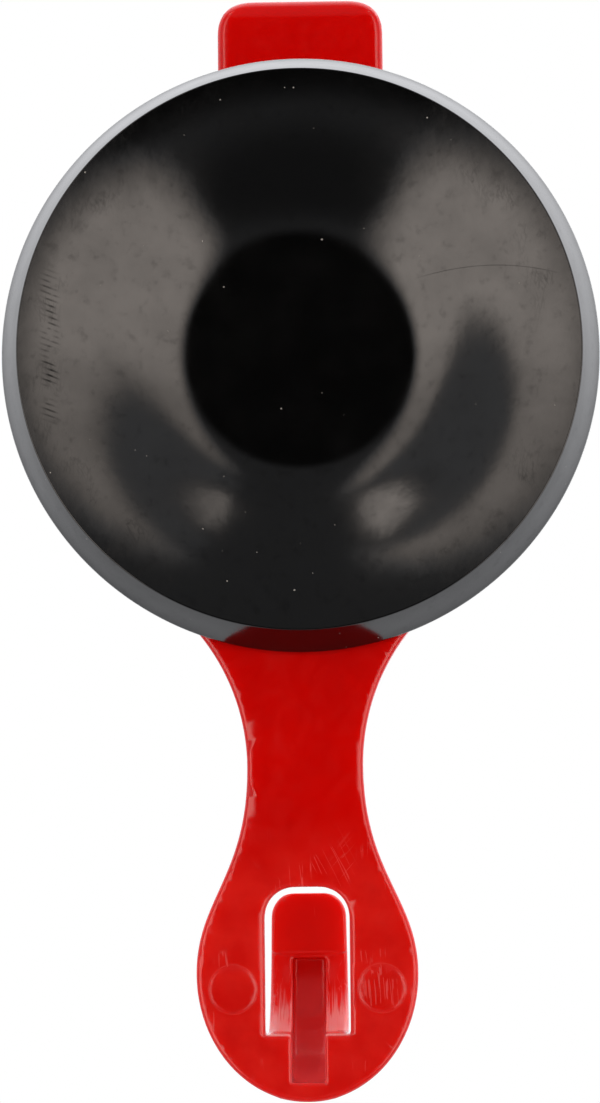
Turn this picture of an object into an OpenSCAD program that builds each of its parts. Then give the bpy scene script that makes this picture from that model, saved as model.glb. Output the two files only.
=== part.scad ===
// Suction hook: a vacuum cup on a lever-locked housing with a moulded hook.
// Row frame: X across, +Z up the wall, +Y into the wall. The sealing lip lies on
// the wall plane Y = 0 and the origin is the centre of that lip.
// Every module is written in wall coordinates (x across, y up the wall, z off
// the wall) and on_wall() turns them into the row frame. The lever is locked.

/* [Cup] */
// Outer diameter of the cup, at the back edge of its rim
cup_d = 60; // [58:1:62]
// Height of the bevelled rim off the wall
rim_h = 5.6; // [5.2:0.1:6]
// How far the sealing lip lies inside the outer edge
lip_inset = 1.9; // [1.5:0.1:2.3]
// Width of the flat sealing land on the lip
lip_land = 0.9; // [0.6:0.1:1.2]
// Depth of the bowl while the lever is locked
bowl_h = 6; // [5.6:0.1:6.4]
// Radius of the flat centre of the bowl
bowl_flat_r = 10.5; // [10:0.5:11]
// Thickness of the flexible wall of the cup
cup_wall = 2.6; // [2.2:0.1:3]

/* [Stem and pin] */
// Radius of the stem's flange, moulded into the cup
flange_r = 10.5; // [10:0.5:11]
// Thickness of that flange
flange_t = 1.8; // [1.4:0.1:2]
// Width of the stem's post, along the pin
post_w = 10.7; // [10.3:0.1:10.9]
// Thickness of the stem's post
post_t = 6; // [5.6:0.1:6.2]
// Diameter of the pivot pin
pin_d = 2.5; // [2:0.1:2.8]

/* [Lever] */
// Width of the lever
lever_w = 17.2; // [16.8:0.1:17.6]
// Height of the lever's tip above the centre of the cup
lever_top = 39.1; // [38:0.1:40]
// Thickness of the lever's side walls
lever_wall = 1.4; // [1.2:0.1:1.5]
// Travel of the stem as the lever opens
travel = 3; // [2.5:0.1:3.2]
// Angle that the lever opens through
open_angle = 100; // [90:5:100]

/* [Housing] */
// Radius of the dome
body_r = 27.6; // [27:0.1:28]
// Radius of the flat crown
crown_r = 13; // [12.5:0.1:13.5]
// Height of the crown off the wall
crown_h = 17.5; // [17:0.1:18]
// Wall thickness of the dome
shell_t = 1.8; // [1.6:0.1:2]

/* [Hook plate] */
// Height of the plate's back face off the wall
plate_z = 5.8; // [5.8:0.1:6.2]
// Thickness of the neck and hook plate
plate_t = 3; // [2.6:0.1:3.2]
// Width of the neck where it is narrowest
neck_w = 11.6; // [11:0.1:13]
// Width of the round lobe
lobe_w = 22.1; // [21.5:0.1:23]
// Distance from the cup's centre down to the end of the lobe
lobe_end = 74.6; // [74:0.1:76]
// Width of the window behind the hook
window_w = 8.5; // [8.4:0.1:8.9]
// Gap between the plate and the inside of the hook
hook_gap = 6; // [5.8:0.1:6.4]

/* [Hidden] */
$fn = 72;
big = 80;

cup_r = cup_d / 2;
lip_r = cup_r - lip_inset;
bowl_r = lip_r - lip_land;
edge = 0.3;
lip_slope = 0.45;
skin_t = 1.4;
flange_z = bowl_h + skin_t;
boss_r = flange_r + 1.7;
boss_top = flange_z + flange_t + 1.6;
skirt_w = 2.2;
skirt_r = body_r - skirt_w;
skirt_top = 7.2;

slip_t = 0.5;
slip_w = 19;
slip_l = 15;
slip_corner = 2;
cam_clear = 0.15;
cam_h = 5.6;
cam_rate = travel / (open_angle * PI / 180);
pin_z = crown_h + cam_clear + cam_h;
ear_r = 5;
heel_wrap = 96;
post_top_r = post_t / 2;
bore_clear = 0.05;
post_clear = 0.25;
web_t = 1.6;
corner_r = 3.8;
inner_w = lever_w - 2 * lever_wall;
side_play = 0.15;
spacer_r = 2.4;
spacer_t = (inner_w - post_w) / 2 - side_play;
belly_z = crown_h + cam_clear;
tip_t = 3.6;
tip_r = 1.6;
pad_l = 9;

washer_t = 0.5;
washer_margin = 1.6;
wire_d = 0.8;
coil_r = 8;
coil_turns = 3.5;
spring_low = boss_top + washer_t;
spring_top = crown_h - 2;
seat_gap = 0.8;
seat_wall = 1.4;
seat_h = 2;
rib_t = 1.2;
rib_drop = 5.7;

neck_y = 41.3;
neck_fillet = 21.3;
fillet_sweep = 55;
lobe_y = 61.9;
window_top = 53.3;
window_foot = 68;
hook_top = 53.7;
bend_y = 59.9;
groove_top = 60.4;
hook_t = 2.3;
groove_w = 3.4;
groove_foot = 72.7;
groove_skin = 2.5;
spine_w = 6.6;
spine_rise = 1.9;
mark_r = 2.45;
mark_x = 7.4;
mark_y = 63.4;
mark_depth = 0.1;
neck_spine_w = 5;
neck_spine_end = 48;

// ---- curves ----

// A value that goes smoothly from 0 to 1 as t does
function ease(t) = t * t * (3 - 2 * t);

// Height of the bowl's face at radius r, which still slopes a little as it meets the land
function bowl(r) = let (t = (r - bowl_flat_r) / (bowl_r - bowl_flat_r))
    bowl_h * (1 - ease(t) + lip_slope * t * t * (1 - t));

// Points on the cubic Bezier curve a, b, c, d
function bezier(a, b, c, d, n) = [
    for (i = [0:n]) let (t = i / n, s = 1 - t)
        s * s * s * a + 3 * s * s * t * b + 3 * s * t * t * c + t * t * t * d
];

// Points on an ellipse round c with half axes ax and ay
function ellipse(c, ax, ay, from, to, n) = [
    for (i = [0:n]) let (w = from + (to - from) * i / n) c + [ax * cos(w), ay * sin(w)]
];

// The dome's arc runs from the crown's edge to the skirt's top
dome_a = [crown_r, crown_h];
dome_b = [body_r, skirt_top];
dome_sag = 1.3;
dome_chord = norm(dome_b - dome_a);
dome_out = [dome_a[1] - dome_b[1], dome_b[0] - dome_a[0]] / dome_chord;
dome_rad = (dome_chord * dome_chord / 4 + dome_sag * dome_sag) / (2 * dome_sag);
dome_c = (dome_a + dome_b) / 2 - dome_out * (dome_rad - dome_sag);
function dome_angle(p) = atan2(p[1] - dome_c[1], p[0] - dome_c[0]);

// The dome's arc moved outwards by off
function dome_arc(off, n = 12) = ellipse(
    dome_c, dome_rad + off, dome_rad + off, dome_angle(dome_a), dome_angle(dome_b), n
);

// The cam is the involute whose reach falls by cam_rate for each radian of opening
function cam_point(w) = let (h = cam_h - cam_rate * w * PI / 180)
    [-h * sin(w) + cam_rate * cos(w), -h * cos(w) - cam_rate * sin(w)];

function reversed(list) = [for (i = [len(list) - 1:-1:0]) list[i]];

// ---- helpers ----

module on_wall() rotate([90, 0, 0]) children();

// Extrudes a profile drawn as [y, z] across x, centred on x = 0
module across(w) translate([-w / 2, 0, 0]) rotate([90, 0, 90]) linear_extrude(w) children();

// A cylinder along x, centred on x = 0
module rod(r, l) rotate([0, 90, 0]) cylinder(r = r, h = l, center = true);

// A plate w by l by t with round corners
module rounded_plate(w, l, t, r) linear_extrude(t) {
    square([w - 2 * r, l], center = true);
    square([w, l - 2 * r], center = true);
    for (sx = [-1, 1], sy = [-1, 1])
        translate([sx * (w / 2 - r), sy * (l / 2 - r)]) circle(r);
}

// ---- suction cup ----

// Points [r, z] along the bowl's face moved off the wall by off
function bowl_face(from, to, off) = [
    for (i = [0:14]) let (r = from + (to - from) * i / 14) [r, bowl(r) + off]
];

module cup_profile() polygon(concat(
    [[0, bowl_h]],
    bowl_face(bowl_flat_r, bowl_r, 0),
    [[lip_r, 0], [cup_r, rim_h - edge], [cup_r - edge, rim_h], [skirt_r - edge, rim_h]],
    reversed(bowl_face(boss_r + 0.8, skirt_r - 1, cup_wall)),
    [[boss_r, boss_top - edge], [boss_r - edge, boss_top], [0, boss_top]]
));

module suction_cup() color([0.03, 0.03, 0.03]) on_wall() difference() {
    rotate_extrude() cup_profile();
    stem_solid();
}

// ---- stem, moulded into the cup ----

module stem_solid() {
    holes = 6;
    difference() {
        translate([0, 0, flange_z]) cylinder(r = flange_r, h = flange_t);
        for (i = [0:holes - 1])
            rotate(i * 360 / holes) translate([flange_r - 2.2, 0, 0]) cylinder(r = 1.1, h = big);
    }
    difference() {
        union() {
            translate([-post_w / 2, -post_t / 2, flange_z])
                cube([post_w, post_t, pin_z - flange_z]);
            translate([0, 0, pin_z]) rod(post_top_r, post_w);
        }
        translate([0, 0, pin_z]) rod(pin_d / 2, big);
    }
}

module stem() color([0.86, 0.85, 0.82]) on_wall() stem_solid();

// ---- spring and its washer ----

module spring_washer() color("silver") on_wall() translate([0, 0, boss_top]) difference() {
    cylinder(r = coil_r + washer_margin, h = washer_t);
    translate([0, 0, -1]) cylinder(r = coil_r - washer_margin, h = big);
}

// Height of the wire's centre line, with its turns closed up at both ends
function coil_z(t) = let (
    low = spring_low + wire_d / 2,
    high = spring_top - wire_d / 2
) low + (high - low) * ease(t);

module return_spring() color("silver") on_wall() {
    sides = 8;
    rings = 84;
    points = [
        for (i = [0:rings], j = [0:sides - 1]) let (
            t = i / rings,
            turn = 360 * coil_turns * t,
            w = 360 * j / sides,
            r = coil_r + wire_d / 2 * cos(w)
        ) [r * cos(turn), r * sin(turn), coil_z(t) + wire_d / 2 * sin(w)]
    ];
    skin = [
        for (i = [0:rings - 1], j = [0:sides - 1]) let (k = (j + 1) % sides)
            [i * sides + j, (i + 1) * sides + j, (i + 1) * sides + k, i * sides + k]
    ];
    ends = [
        [for (j = [0:sides - 1]) j],
        [for (j = [sides - 1:-1:0]) rings * sides + j]
    ];
    polyhedron(points, concat(skin, ends));
}

// ---- housing: dome, neck, lobe and hook in one moulding ----

module dome_solid() rotate_extrude()
    polygon(concat([[0, rim_h], [body_r, rim_h]], reversed(dome_arc(0)), [[0, crown_h]]));

module dome_hollow() {
    inner = [for (p = dome_arc(-shell_t)) if (p[0] < skirt_r && p[0] > crown_r) p];
    rotate_extrude() polygon(concat(
        [[0, rim_h - 1], [skirt_r, rim_h - 1], [skirt_r, skirt_top - 0.6]],
        reversed(inner),
        [[crown_r - 1, spring_top], [0, spring_top]]
    ));
}

// One side of the neck and lobe, from under the dome down to the lobe's end
waist = [neck_w / 2, -neck_y];
widest = [lobe_w / 2, -lobe_y];
function neck_side() = concat(
    ellipse(waist + [neck_fillet, 0], neck_fillet, neck_fillet, 180 - fillet_sweep, 180, 10),
    bezier(waist, waist - [0, 10.9], widest + [0, 7.5], widest, 12),
    ellipse([0, -lobe_y], lobe_w / 2, lobe_end - lobe_y, 0, -90, 12)
);

module plate_outline() {
    side = neck_side();
    polygon(concat(side, [for (p = reversed(side)) [-p[0], p[1]]]));
}

module window_outline() {
    r = 3;
    half = window_w / 2;
    translate([-half, -window_foot]) square([window_w, window_foot - window_top - r]);
    translate([-half + r, -window_foot]) square([window_w - 2 * r, window_foot - window_top]);
    for (s = [-1, 1]) translate([s * (half - r), -window_top - r]) circle(r);
}

// The hook as seen square on: it narrows from the window's foot to a round tip
module hook_outline() {
    tip_half = window_w / 2 - 0.45;
    r = 2.6;
    foot_half = window_w / 2 - 0.25;
    polygon([
        [-foot_half, -big], [foot_half, -big], [foot_half, -window_foot],
        [tip_half, -hook_top - r], [-tip_half, -hook_top - r], [-foot_half, -window_foot]
    ]);
    translate([-tip_half + r, -hook_top - r - 1]) square([2 * (tip_half - r), r + 1]);
    for (s = [-1, 1]) translate([s * (tip_half - r), -hook_top - r]) circle(r);
}

// The hook's curves are quarter ellipses round one centre, from its root to its bend
hook_c = [-bend_y, plate_z];
hook_up = window_foot - bend_y;
hook_out = plate_t + hook_gap;
function hook_curve(up, out) = ellipse(hook_c, up, out, 180, 90, 12);

module hook_band() across(window_w + 2) polygon(concat(
    hook_curve(hook_up, hook_out),
    [[-hook_top, plate_z + hook_out + 0.3], [-hook_top, plate_z + hook_out + hook_t]],
    reversed(hook_curve(hook_up + hook_t, hook_out + hook_t))
));

module hook_spine() across(spine_w) polygon(concat(
    [[-hook_top - 1, plate_z + hook_out + hook_t - 0.2]],
    reversed(hook_curve(lobe_end - bend_y - 0.3, hook_out + hook_t + spine_rise)),
    hook_curve(hook_up + 0.6, hook_out + 0.6)
));

module hook_groove() across(groove_w) polygon(concat(
    [[-groove_top, plate_z - 1], [-groove_foot, plate_z - 1]],
    [
        for (p = hook_curve(groove_foot - bend_y, hook_out + groove_skin))
            if (p[0] < -groove_top - 0.1) p
    ],
    [[-groove_top, plate_z + hook_out + groove_skin]]
));

// A low spine that leaves the dome's flank along its slope and dies out in the neck
module neck_spine() {
    flank = dome_arc(0)[6];
    slope = (dome_b - dome_a) / dome_chord;
    start = [-flank[0], flank[1]];
    plate_top = plate_z + plate_t;
    across(neck_spine_w) polygon(concat(
        [[-crown_r, plate_z + 1], [-crown_r, crown_h - 1]],
        bezier(start, start + 7 * [-slope[0], slope[1]], [-neck_spine_end + 12, plate_top],
            [-neck_spine_end, plate_top], 10),
        [[-neck_spine_end, plate_z + 1]]
    ));
}

module ejector_marks() for (s = [-1, 1])
    translate([s * mark_x, -mark_y, plate_z - 1]) cylinder(r = mark_r, h = 1 + mark_depth);

// Ribs under the crown, clear of the cup's boss
module crown_ribs() intersection() {
    dome_solid();
    for (i = [0:5]) rotate(30 + i * 60)
        translate([coil_r + seat_gap + 1, -rib_t / 2, crown_h - rib_drop])
            cube([skirt_r - coil_r - 6, rib_t, rib_drop]);
}

// A ring under the crown that keeps the spring central
module spring_seat() translate([0, 0, spring_top - seat_h]) difference() {
    cylinder(r = coil_r + seat_gap + seat_wall, h = seat_h + 0.2);
    translate([0, 0, -1]) cylinder(r = coil_r + seat_gap, h = big);
}

module housing() color([0.78, 0.02, 0.01]) on_wall() difference() {
    union() {
        difference() {
            union() {
                dome_solid();
                difference() {
                    translate([0, 0, plate_z]) linear_extrude(plate_t) plate_outline();
                    translate([0, 0, plate_z - 1]) linear_extrude(plate_t + 2) window_outline();
                }
                neck_spine();
            }
            dome_hollow();
        }
        crown_ribs();
        spring_seat();
        intersection() {
            union() {
                hook_band();
                hook_spine();
            }
            linear_extrude(big) hook_outline();
            linear_extrude(big) plate_outline();
        }
    }
    hook_groove();
    ejector_marks();
    post_hole(post_clear);
    translate([0, 0, crown_h - slip_t]) rounded_plate(slip_w + 0.1, slip_l + 0.1, big, slip_corner);
}

// The hole that the post slides in, wider than it by c on each side
module post_hole(c) translate([-post_w / 2 - c, -post_t / 2 - c, 0])
    cube([post_w + 2 * c, post_t + 2 * c, big]);

module slip_plate() color("silver") on_wall() translate([0, 0, crown_h - slip_t]) difference() {
    rounded_plate(slip_w, slip_l, slip_t, slip_corner);
    translate([0, 0, -1]) post_hole(post_clear + 0.05);
}

// ---- lever ----

// The lever from the side, as [y, z]: its cam, its flat underside, its round tip and its top
module lever_side() {
    cam = [for (w = [open_angle:-5:0]) [0, pin_z] + cam_point(w)];
    polygon(concat(
        cam,
        ellipse([lever_top - tip_r, belly_z + tip_r], tip_r, tip_r, -90, 0, 6),
        lever_crest(0),
        ellipse([0, pin_z], ear_r, ear_r, 90, heel_wrap, 2)
    ));
}

// The lever's top from tip to pin, lowered by inset for the underside of its web
function lever_crest(inset) = bezier(
    [lever_top, belly_z + tip_t - inset],
    [lever_top - 8, belly_z + tip_t + 0.5 - inset],
    [15, pin_z + ear_r - inset],
    [0, pin_z + ear_r - inset],
    16
);

// The room under the lever's web, open to the dome and at the heel
module lever_inside() {
    web_r = ear_r - web_t;
    heel = [0, pin_z] + big * [cos(heel_wrap), sin(heel_wrap)];
    polygon(concat(
        [heel, [-big, 0], [lever_top, 0]],
        lever_crest(web_t),
        ellipse([0, pin_z], web_r, web_r, 90, heel_wrap, 2)
    ));
}

// A shape square on, from below the heel up to top, with round corners there
module lever_plan(half, top, r) {
    translate([-half, -20]) square([2 * half, 20 + top - r]);
    translate([-half + r, 0]) square([2 * (half - r), top]);
    for (s = [-1, 1]) translate([s * (half - r), top - r]) circle(r);
}

module lever() color([0.78, 0.02, 0.01]) on_wall() difference() {
    intersection() {
        across(lever_w) lever_side();
        linear_extrude(big) lever_plan(lever_w / 2, lever_top, corner_r);
    }
    intersection() {
        across(inner_w) lever_inside();
        linear_extrude(big)
            lever_plan(inner_w / 2, lever_top - pad_l, corner_r - lever_wall);
    }
    translate([0, 0, pin_z]) rod(pin_d / 2 + bore_clear, big);
}

// ---- pin, push nut and spacers ----

module pivot_pin() color("silver") on_wall() {
    head_x = lever_w / 2 + 0.1;
    tail = 1.2;
    translate([-head_x, 0, pin_z]) rotate([0, 90, 0]) rotate_extrude() polygon([
        [0, -0.9], [1.5, -0.9], [2.2, -0.4], [2.2, 0], [pin_d / 2, 0],
        [pin_d / 2, 2 * head_x + tail - 0.3], [pin_d / 2 - 0.3, 2 * head_x + tail],
        [0, 2 * head_x + tail]
    ]);
}

module push_nut() color("silver") on_wall()
    translate([lever_w / 2 + 0.1, 0, pin_z]) rotate([0, 90, 0]) rotate_extrude() polygon([
        [pin_d / 2, 0.35], [2.5, 0], [2.5, 0.3], [pin_d / 2, 0.7]
    ]);

module spacer(side) color([0.92, 0.91, 0.88]) on_wall()
    translate([side * (post_w + spacer_t + side_play / 2) / 2, 0, pin_z]) difference() {
        rod(spacer_r, spacer_t);
        rod(pin_d / 2 + bore_clear, big);
    }

module spacer_left() spacer(-1);
module spacer_right() spacer(1);

suction_cup();
stem();
spring_washer();
return_spring();
housing();
slip_plate();
lever();
pivot_pin();
push_nut();
spacer_left();
spacer_right();
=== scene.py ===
"""A suction hook: a glossy black cup, a red housing with a moulded hook, and a red cam lever.

Shapes are worked out in wall coordinates, in millimetres: x across, y up the wall, z off the
wall. They are turned into the row frame, in metres, as each mesh is built.
"""
import math

import bmesh
import bpy
import numpy as np
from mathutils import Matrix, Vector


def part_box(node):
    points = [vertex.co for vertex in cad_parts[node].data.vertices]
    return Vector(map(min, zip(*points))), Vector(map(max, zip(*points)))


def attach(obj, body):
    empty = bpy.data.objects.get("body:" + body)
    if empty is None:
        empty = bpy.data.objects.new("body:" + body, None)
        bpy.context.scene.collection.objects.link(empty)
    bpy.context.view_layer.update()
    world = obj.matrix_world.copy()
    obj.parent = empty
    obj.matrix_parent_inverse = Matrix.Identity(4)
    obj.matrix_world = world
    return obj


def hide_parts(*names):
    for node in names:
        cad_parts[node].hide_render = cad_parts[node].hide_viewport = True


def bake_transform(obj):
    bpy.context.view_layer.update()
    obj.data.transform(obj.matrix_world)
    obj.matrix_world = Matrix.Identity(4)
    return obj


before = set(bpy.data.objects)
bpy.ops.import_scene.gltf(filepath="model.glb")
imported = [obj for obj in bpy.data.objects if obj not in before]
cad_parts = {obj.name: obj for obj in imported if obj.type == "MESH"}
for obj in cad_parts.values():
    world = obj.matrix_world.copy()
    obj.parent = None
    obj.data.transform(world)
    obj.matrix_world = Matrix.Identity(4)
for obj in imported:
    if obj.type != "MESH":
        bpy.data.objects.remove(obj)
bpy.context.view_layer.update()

import openvdb
from mathutils import Quaternion, Vector

MM = 0.001


def span(node):
    """Lowest and highest corner of a CAD node, in wall coordinates."""
    low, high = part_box(node)
    return (
        np.array([low.x, low.z, -high.y]) / MM,
        np.array([high.x, high.z, -low.y]) / MM,
    )


# ---- sizes, in millimetres ----

CUP_HIGH = span("suction_cup")[1]
BODY_LOW, BODY_HIGH = span("housing")
LEVER_LOW, LEVER_HIGH = span("lever")
STEM_LOW, STEM_HIGH = span("stem")
SLIP_LOW, SLIP_HIGH = span("slip_plate")
PIN_LOW, PIN_HIGH = span("pivot_pin")
SPRING_LOW, SPRING_HIGH = span("return_spring")
NUT_LOW, NUT_HIGH = span("push_nut")

CUP_R = CUP_HIGH[0]
RIM_H = BODY_LOW[2]
LIP_R = CUP_R - 1.9
LAND = 0.12
BOWL_H = 6.0
BOWL_FLAT_R = 10.5
BOWL_CURVE = (3.75, -4.1, 1.35)
CUP_WALL = 2.6
BOSS_R = 12.2
BOSS_TOP = CUP_HIGH[2]

BODY_R = BODY_HIGH[1]
CROWN_R = 13.0
CROWN_H = SLIP_HIGH[2]
SHELL = 1.8
SKIRT_R = BODY_R - 2.2
SKIRT_TOP = 7.2
DOME_SAG = 1.3

PLATE_Z = 5.8
PLATE_T = 3.0
NECK_HALF = 5.8
NECK_Y = -41.3
NECK_FILLET = 21.3
LOBE_HALF = 11.05
LOBE_Y = -61.9
LOBE_END = BODY_LOW[1]
WINDOW_HALF = 4.25
WINDOW_TOP = -53.3
WINDOW_FOOT = -68.0
WINDOW_CORNER = 3.0

BEND_Y = -59.9
HOOK_TOP = -53.7
HOOK_TIP_HALF = WINDOW_HALF - 0.45
HOOK_FOOT_HALF = WINDOW_HALF - 0.25
HOOK_GAP = 6.0
HOOK_T = 2.3
HOOK_STEP = 0.4
GROOVE_HALF = 1.65
GROOVE_TOP = -60.4
GROOVE_FOOT = -72.7
GROOVE_SKIN = 2.5
SPINE_HALF = 3.3
SPINE_RISE = 1.9
MARK_R = 2.45
MARK_X = 7.4
MARK_Y = -63.4

PIN_Z = (PIN_LOW[2] + PIN_HIGH[2]) / 2
PIN_R = 1.25
EAR_R = LEVER_HIGH[2] - PIN_Z
HEEL_WRAP = 96
OPEN_ANGLE = 100
CAM_H = 5.6
CAM_RATE = 3 / math.radians(OPEN_ANGLE)
LEVER_HALF = LEVER_HIGH[0]
LEVER_WALL = 1.4
LEVER_WEB = 1.6
LEVER_EDGE_R = 0.9
# Rounding the edges takes this much off the tip, so the outline starts that much longer.
LEVER_TOP = LEVER_HIGH[1] + (1 - math.sqrt(0.5)) * LEVER_EDGE_R
LEVER_CORNER = 3.8
BELLY_Z = PIN_Z - CAM_H
TIP_T = 3.6
TIP_R = 2.2
PAD_L = 9.0

COIL_R = 8.0
WIRE_R = 0.4


# ---- curves: lists of (u, v) points ----

def bezier(a, b, c, d, n=24):
    """Points on the cubic Bezier curve a, b, c, d."""
    a, b, c, d = (np.array(p, float) for p in (a, b, c, d))
    t = np.linspace(0, 1, n + 1)[:, None]
    s = 1 - t
    return s**3 * a + 3 * s * s * t * b + 3 * s * t * t * c + t**3 * d


def arc(centre, ru, rv, start, end, n=24):
    """Points on an ellipse round centre with half axes ru and rv, between two angles in degrees."""
    w = np.radians(np.linspace(start, end, n + 1))
    return np.stack([centre[0] + ru * np.cos(w), centre[1] + rv * np.sin(w)], 1)


def joined(*pieces):
    return np.concatenate([np.atleast_2d(np.array(p, float)) for p in pieces])


def rounded_rectangle(half_w, low, high, r, both_ends=True):
    """A rectangle from low to high with round corners, the lower two only if both_ends."""
    top = joined(
        arc((half_w - r, high - r), r, r, 0, 90, 8),
        arc((r - half_w, high - r), r, r, 90, 180, 8),
    )
    if both_ends:
        foot = joined(
            arc((r - half_w, low + r), r, r, 180, 270, 8),
            arc((half_w - r, low + r), r, r, 270, 360, 8),
        )
    else:
        foot = [(-half_w, low), (half_w, low)]
    return joined(top, foot)


def ease(t):
    t = np.clip(t, 0, 1)
    return t * t * (3 - 2 * t)


def bowl(r):
    """Height of the bowl's face at radius r. It is steepest at 18 mm and still slopes at the lip."""
    t = np.clip((r - BOWL_FLAT_R) / (LIP_R - LAND - BOWL_FLAT_R), 0, 1)
    a, b, c = BOWL_CURVE
    return BOWL_H * (1 - t * t * (a + b * t + c * t * t))


# The dome's flank is an arc from the crown's edge to the top of the skirt.
DOME_A = np.array([CROWN_R, CROWN_H])
DOME_B = np.array([BODY_R, SKIRT_TOP])
DOME_CHORD = np.linalg.norm(DOME_B - DOME_A)
DOME_OUT = np.array([DOME_A[1] - DOME_B[1], DOME_B[0] - DOME_A[0]]) / DOME_CHORD
DOME_RADIUS = (DOME_CHORD**2 / 4 + DOME_SAG**2) / (2 * DOME_SAG)
DOME_C = (DOME_A + DOME_B) / 2 - DOME_OUT * (DOME_RADIUS - DOME_SAG)


def dome_arc(offset, n=24):
    ends = [math.degrees(math.atan2(*(p - DOME_C)[::-1])) for p in (DOME_A, DOME_B)]
    return arc(DOME_C, DOME_RADIUS + offset, DOME_RADIUS + offset, ends[0], ends[1], n)


# ---- signed distance fields ----

def meet(a, b, r=0.0):
    """What is inside both a and b, with the edge between them rounded to radius r."""
    if r == 0:
        return np.maximum(a, b)
    return np.minimum(np.maximum(a, b), -r) + np.hypot(np.maximum(a + r, 0), np.maximum(b + r, 0))


def join(a, b, r=0.0):
    """What is inside a or b, with a fillet of radius r where they meet."""
    return -meet(-a, -b, r)


def cut(a, b, r=0.0):
    """a without b, with the edge rounded to radius r."""
    return meet(a, -b, r)


def outline(u, v, points):
    """Signed distance to the closed outline through points, on the grid of u by v."""
    nearest = np.full(np.broadcast_shapes(u.shape, v.shape), 1e9, np.float32)
    inside = np.zeros(nearest.shape, bool)
    points = np.array(points, np.float32)
    for a, b in zip(points, np.roll(points, -1, axis=0)):
        edge = b - a
        size = float(edge @ edge)
        if size < 1e-10:
            continue
        du, dv = u - a[0], v - a[1]
        t = np.clip((du * edge[0] + dv * edge[1]) / size, 0, 1)
        nearest = np.minimum(nearest, (du - t * edge[0]) ** 2 + (dv - t * edge[1]) ** 2)
        if edge[1] != 0:
            crosses = (a[1] <= v) != (b[1] <= v)
            inside ^= crosses & (u < a[0] + dv * (edge[0] / edge[1]))
    return np.sqrt(nearest) * np.where(inside, -1, 1)


class Grid:
    """A regular grid round one piece, on which its signed distance field is worked out."""

    def __init__(self, low, high, step):
        self.step = step
        self.low = np.array(low, float) - 3 * step
        ends = np.array(high, float) + 4 * step
        x, y, z = (np.arange(a, b, step, dtype=np.float32) for a, b in zip(self.low, ends))
        self.x, self.y, self.z = x[:, None, None], y[None, :, None], z[None, None, :]

    def front(self, points):
        """The field of an outline drawn as (x, y)."""
        return outline(self.x[:, :, 0], self.y[:, :, 0], points)[:, :, None]

    def side(self, points):
        """The field of an outline drawn as (y, z)."""
        return outline(self.y[0], self.z[0], points)[None]

    def slab(self, low, high):
        """The field of the slab between two heights off the wall."""
        return np.maximum(low - self.z, self.z - high)

    def rod(self, y, z, r):
        """The field of an endless rod along x."""
        return np.hypot(self.y - y, self.z - z) - r

    def at(self, field, points):
        """The field's value at points, from its eight neighbours."""
        q = (points - self.low) / self.step
        i = np.clip(np.floor(q).astype(int), 0, np.array(field.shape) - 2)
        f = q - i
        total = np.zeros(len(points))
        for corner in np.ndindex(2, 2, 2):
            weight = np.prod(np.where(corner, f, 1 - f), axis=1)
            total += weight * field[tuple((i + corner).T)]
        return total

    def slope(self, field, points):
        """The field's gradient at points."""
        reach = self.step * 0.75
        rise = [
            self.at(field, points + reach * axis) - self.at(field, points - reach * axis)
            for axis in np.eye(3)
        ]
        return np.stack(rise, 1) / (2 * reach)


def on_wall(points):
    """Wall coordinates in millimetres turned into the row frame in metres."""
    points = np.asarray(points, float)
    return np.stack([points[:, 0], -points[:, 2], points[:, 1]], 1) * MM


def make_object(name, points, faces, normals=None):
    mesh = bpy.data.meshes.new(name)
    mesh.from_pydata(on_wall(points).tolist(), [], faces)
    mesh.validate()
    mesh.shade_smooth()
    if normals is not None and len(mesh.vertices) == len(points):
        mesh.normals_split_custom_set_from_vertices(on_wall(normals / MM).tolist())
    obj = bpy.data.objects.new(name, mesh)
    bpy.context.scene.collection.objects.link(obj)
    return obj


def skin(name, grid, field, adaptivity=0.0):
    """A closed mesh on the field's zero surface, with the field's own slope as its normals."""
    shape = (grid.x.size, grid.y.size, grid.z.size)
    field = np.array(np.broadcast_to(field, shape), np.float32, order="C")
    volume = openvdb.FloatGrid(1.0)
    volume.copyFromArray(field)
    points, triangles, quads = volume.convertToPolygons(isovalue=0, adaptivity=adaptivity)
    points = points.astype(float) * grid.step + grid.low
    for _ in range(2):
        slope = grid.slope(field, points)
        steep = np.maximum((slope * slope).sum(1), 0.2)
        shift = slope * (grid.at(field, points) / steep)[:, None]
        points -= np.clip(shift, -grid.step / 2, grid.step / 2)
    slope = grid.slope(field, points)
    normals = slope / np.maximum(np.linalg.norm(slope, axis=1), 1e-6)[:, None]
    faces = [f[::-1].tolist() for f in quads] + [f[::-1].tolist() for f in triangles]
    a, b, c = (points[[f[i] for f in faces]] for i in range(3))
    facing = np.cross(b - a, c - a)
    lead = normals[[f[0] for f in faces]]
    if (facing * lead).sum() < 0:
        faces = [f[::-1] for f in faces]
    return make_object(name, points, faces, normals)


# ---- meshes from a turned profile or a swept wire ----

def turned(name, profile, sides=192, closed=True, centre=(0, 0, 0), along_x=False):
    """A profile of (radius, height) turned round the axis off the wall, or round x."""
    profile = np.array(profile, float)
    w = np.arange(sides) * (2 * math.pi / sides)
    r, h = profile[:, 0][:, None], profile[:, 1][:, None]
    u, v, t = r * np.cos(w), r * np.sin(w), np.broadcast_to(h, (len(profile), sides))
    points = np.stack([t, u, v] if along_x else [u, v, t], 2).reshape(-1, 3) + centre
    rows = len(profile)
    faces = []
    for i in range(rows if closed else rows - 1):
        j = (i + 1) % rows
        for k in range(sides):
            m = (k + 1) % sides
            faces.append([i * sides + k, i * sides + m, j * sides + m, j * sides + k])
    obj = make_object(name, points, faces)
    clean(obj)
    return obj


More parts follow.
